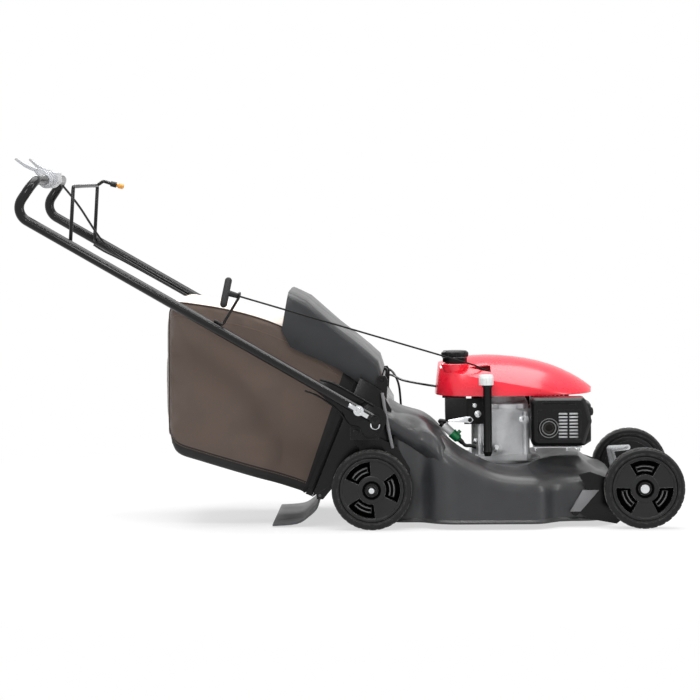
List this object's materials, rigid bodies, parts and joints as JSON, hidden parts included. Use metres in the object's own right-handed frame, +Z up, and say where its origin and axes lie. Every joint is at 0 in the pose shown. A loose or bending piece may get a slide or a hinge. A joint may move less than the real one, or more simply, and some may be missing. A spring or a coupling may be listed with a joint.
{
  "type": "push_lawn_mower",
  "caption": "Walk-behind rotary lawn mower with an enclosed deck, rear bag, vertical-shaft engine, height-adjustable wheels and a folding handle with bail and drive paddles.",
  "frame": {"origin": "On the floor below the middle of the overall footprint: halfway between the front tyres' leading edge and the handle's rearmost point, and midway between the wheels", "axes": "+X forward, +Y to the mower's left, +Z up"},
  "size_m": [1.6985, 0.5928, 0.946],
  "materials": {
    "deck_paint": "charcoal enamel, semi-gloss",
    "black_paint": "black powder coat",
    "engine_red": "red gloss enamel",
    "black_plastic": "moulded, fine grain",
    "rim_plastic": "moulded",
    "grey_control": "moulded, satin",
    "filter_plastic": "green and white moulded",
    "yellow_button": "moulded",
    "soft_grip": "soft moulded",
    "belt_rubber": "dull",
    "tyre_rubber": "dull rubber",
    "cord": "braided",
    "cable_jacket": "smooth jacket",
    "bag_cloth": "woven",
    "cast_alloy": "as cast",
    "plated_steel": "zinc plated",
    "steel": "ground or turned",
    "dark_metal": "heat-stained",
    "reel_plastic": "moulded"
  },
  "bodies": {
    "mower": {"deck_shell": "deck_paint", "front_right_bracket": "black_paint", "front_left_bracket": "black_paint", "handle_right_bracket": "black_paint", "handle_left_bracket": "black_paint", "discharge_chute": "black_plastic", "guard_hinge_rod": "plated_steel", "transmission": "cast_alloy", "drive_belt": "belt_rubber", "crankcase": "cast_alloy", "finned_cylinder": "cast_alloy", "head_cover": "dark_metal", "muffler": "dark_metal", "muffler_guard": "black_paint", "engine_cover": "engine_red", "fuel_tank": "black_plastic", "oil_fill_tube": "black_plastic", "air_cleaner": "black_plastic", "carburettor": "cast_alloy", "fuel_filter": "filter_plastic", "spark_plug": "reel_plastic", "starter_rope": "cord", "brake_cable": "cable_jacket", "drive_cable": "cable_jacket"},
    "front_axle": {"front_axle": "steel"},
    "rear_axle": {"rear_axle": "steel"},
    "front_right_wheel": {"front_right_rim": "rim_plastic", "front_right_tyre": "tyre_rubber"},
    "front_left_wheel": {"front_left_rim": "rim_plastic", "front_left_tyre": "tyre_rubber"},
    "rear_right_wheel": {"rear_right_rim": "rim_plastic", "rear_right_tyre": "tyre_rubber"},
    "rear_left_wheel": {"rear_left_rim": "rim_plastic", "rear_left_tyre": "tyre_rubber"},
    "drive_shaft": {"drive_shaft": "steel"},
    "crankshaft": {"crankshaft": "steel", "flywheel": "cast_alloy", "crank_pulley": "steel", "blade_holder": "steel", "upper_blade": "steel", "lower_blade": "steel", "blade_bolts": "plated_steel"},
    "transmission_pulley": {"transmission_pulley": "steel"},
    "starter_reel": {"starter_reel": "reel_plastic"},
    "starter_grip": {"starter_grip": "soft_grip"},
    "fuel_cap": {"fuel_cap": "black_plastic"},
    "oil_dipstick": {"oil_dipstick": "plated_steel"},
    "fuel_lever": {"fuel_lever": "plated_steel"},
    "discharge_guard": {"discharge_guard": "black_plastic"},
    "trailing_shield": {"trailing_shield": "soft_grip"},
    "bag": {"bag_fabric": "bag_cloth", "bag_frame": "black_plastic"},
    "handle": {"handle_tube": "black_paint", "rope_guide": "black_paint", "drive_control": "grey_control"},
    "knob_right": {"knob_right": "plated_steel"},
    "knob_left": {"knob_left": "plated_steel"},
    "bail": {"bail": "black_paint"},
    "bail_button": {"bail_button": "yellow_button"},
    "drive_paddles": {"drive_paddles": "grey_control"}
  },
  "joints": [
    {"name": "front_height", "type": "hinge", "parent": "mower", "child": "front_axle", "pos_m": [0.71364, 0, 0.06614], "axis": [0, 1, 0], "range_deg": [0, 90]},
    {"name": "rear_height", "type": "hinge", "parent": "mower", "child": "rear_axle", "pos_m": [0.02764, 0, 0.06614], "axis": [0, 1, 0], "range_deg": [0, 90]},
    {"name": "front_right_spin", "type": "hinge", "parent": "front_axle", "child": "front_right_wheel", "pos_m": [0.749, -0.263, 0.1015], "axis": [0, 1, 0], "continuous": true},
    {"name": "front_left_spin", "type": "hinge", "parent": "front_axle", "child": "front_left_wheel", "pos_m": [0.749, 0.263, 0.1015], "axis": [0, 1, 0], "continuous": true},
    {"name": "rear_right_spin", "type": "hinge", "parent": "rear_axle", "child": "rear_right_wheel", "pos_m": [0.063, -0.263, 0.1015], "axis": [0, 1, 0], "continuous": true},
    {"name": "rear_left_spin", "type": "hinge", "parent": "rear_axle", "child": "rear_left_wheel", "pos_m": [0.063, 0.263, 0.1015], "axis": [0, 1, 0], "continuous": true},
    {"name": "drive_spin", "type": "hinge", "parent": "rear_axle", "child": "drive_shaft", "pos_m": [0.02764, 0, 0.06614], "axis": [0, 1, 0], "continuous": true},
    {"name": "crank_spin", "type": "hinge", "parent": "mower", "child": "crankshaft", "pos_m": [0.389, 0, 0.12], "axis": [0, 0, 1], "continuous": true},
    {"name": "pulley_spin", "type": "hinge", "parent": "mower", "child": "transmission_pulley", "pos_m": [0.047, 0.15, 0.12], "axis": [0, 0, 1], "continuous": true},
    {"name": "starter_pull", "type": "slide", "parent": "handle", "child": "starter_grip", "axis": [-0.9278, -0.228, 0.2952], "range_m": [0, 0.5], "stiffness_N_per_m": 12, "springref_m": -0.3},
    {"name": "reel_spin", "type": "hinge", "parent": "mower", "child": "starter_reel", "pos_m": [0.389, 0, 0.365], "axis": [0, 0, 1], "range_deg": [0, 560]},
    {"name": "fuel_cap_turn", "type": "hinge", "parent": "mower", "child": "fuel_cap", "pos_m": [0.276, -0.092, 0.425], "axis": [0, 0, 1], "range_deg": [0, 120]},
    {"name": "dipstick_draw", "type": "slide", "parent": "mower", "child": "oil_dipstick", "axis": [0, 0, 1], "range_m": [0, 0.19]},
    {"name": "fuel_lever_turn", "type": "hinge", "parent": "mower", "child": "fuel_lever", "pos_m": [0.3135, -0.139, 0.265], "axis": [0, -1, 0], "range_deg": [0, 90]},
    {"name": "guard_lift", "type": "hinge", "parent": "mower", "child": "discharge_guard", "pos_m": [0.09, 0, 0.372], "axis": [0, 1, 0], "range_deg": [0, 60], "stiffness_Nm_per_rad": 1.5, "springref_deg": -34.38},
    {"name": "shield_swing", "type": "hinge", "parent": "mower", "child": "trailing_shield", "pos_m": [-0.07, 0, 0.082], "axis": [0, 1, 0], "range_deg": [0, 30]},
    {"name": "bag_off", "type": "slide", "parent": "mower", "child": "bag", "axis": [-0.924, 0, 0.3824], "range_m": [0, 0.12]},
    {"name": "handle_fold", "type": "hinge", "parent": "mower", "child": "handle", "pos_m": [0.072, 0, 0.28], "axis": [0, 1, 0], "range_deg": [0, 140], "deforming": ["starter_rope", "brake_cable", "drive_cable"]},
    {"name": "knob_right_turn", "type": "hinge", "parent": "handle", "child": "knob_right", "pos_m": [0.032, -0.275, 0.30328], "axis": [0, 1, 0], "range_deg": [0, 360]},
    {"name": "knob_left_turn", "type": "hinge", "parent": "handle", "child": "knob_left", "pos_m": [0.032, 0.275, 0.30328], "axis": [0, 1, 0], "range_deg": [0, 360]},
    {"name": "bail_pull", "type": "hinge", "parent": "handle", "child": "bail", "pos_m": [-0.693, 0, 0.72523], "axis": [0, -1, 0], "range_deg": [0, 33], "stiffness_Nm_per_rad": 1.5, "springref_deg": -22.92},
    {"name": "bail_button_press", "type": "slide", "parent": "bail", "child": "bail_button", "axis": [-0.9659, 0, 0.2588], "range_m": [0, 0.004], "stiffness_N_per_m": 300, "springref_m": -0.006},
    {"name": "paddle_press", "type": "hinge", "parent": "handle", "child": "drive_paddles", "pos_m": [-0.778, 0, 0.889], "axis": [0, 1, 0], "range_deg": [0, 25], "stiffness_Nm_per_rad": 0.6, "springref_deg": -17.19}
  ],
  "couplings": [
    {"joint": "drive_spin", "follows": "rear_right_spin", "ratio": 4.3333},
    {"joint": "rear_left_spin", "follows": "rear_right_spin", "ratio": 1},
    {"joint": "pulley_spin", "follows": "crank_spin", "ratio": 0.64286},
    {"joint": "reel_spin", "follows": "starter_pull", "rad_per_m": 19.048}
  ]
}
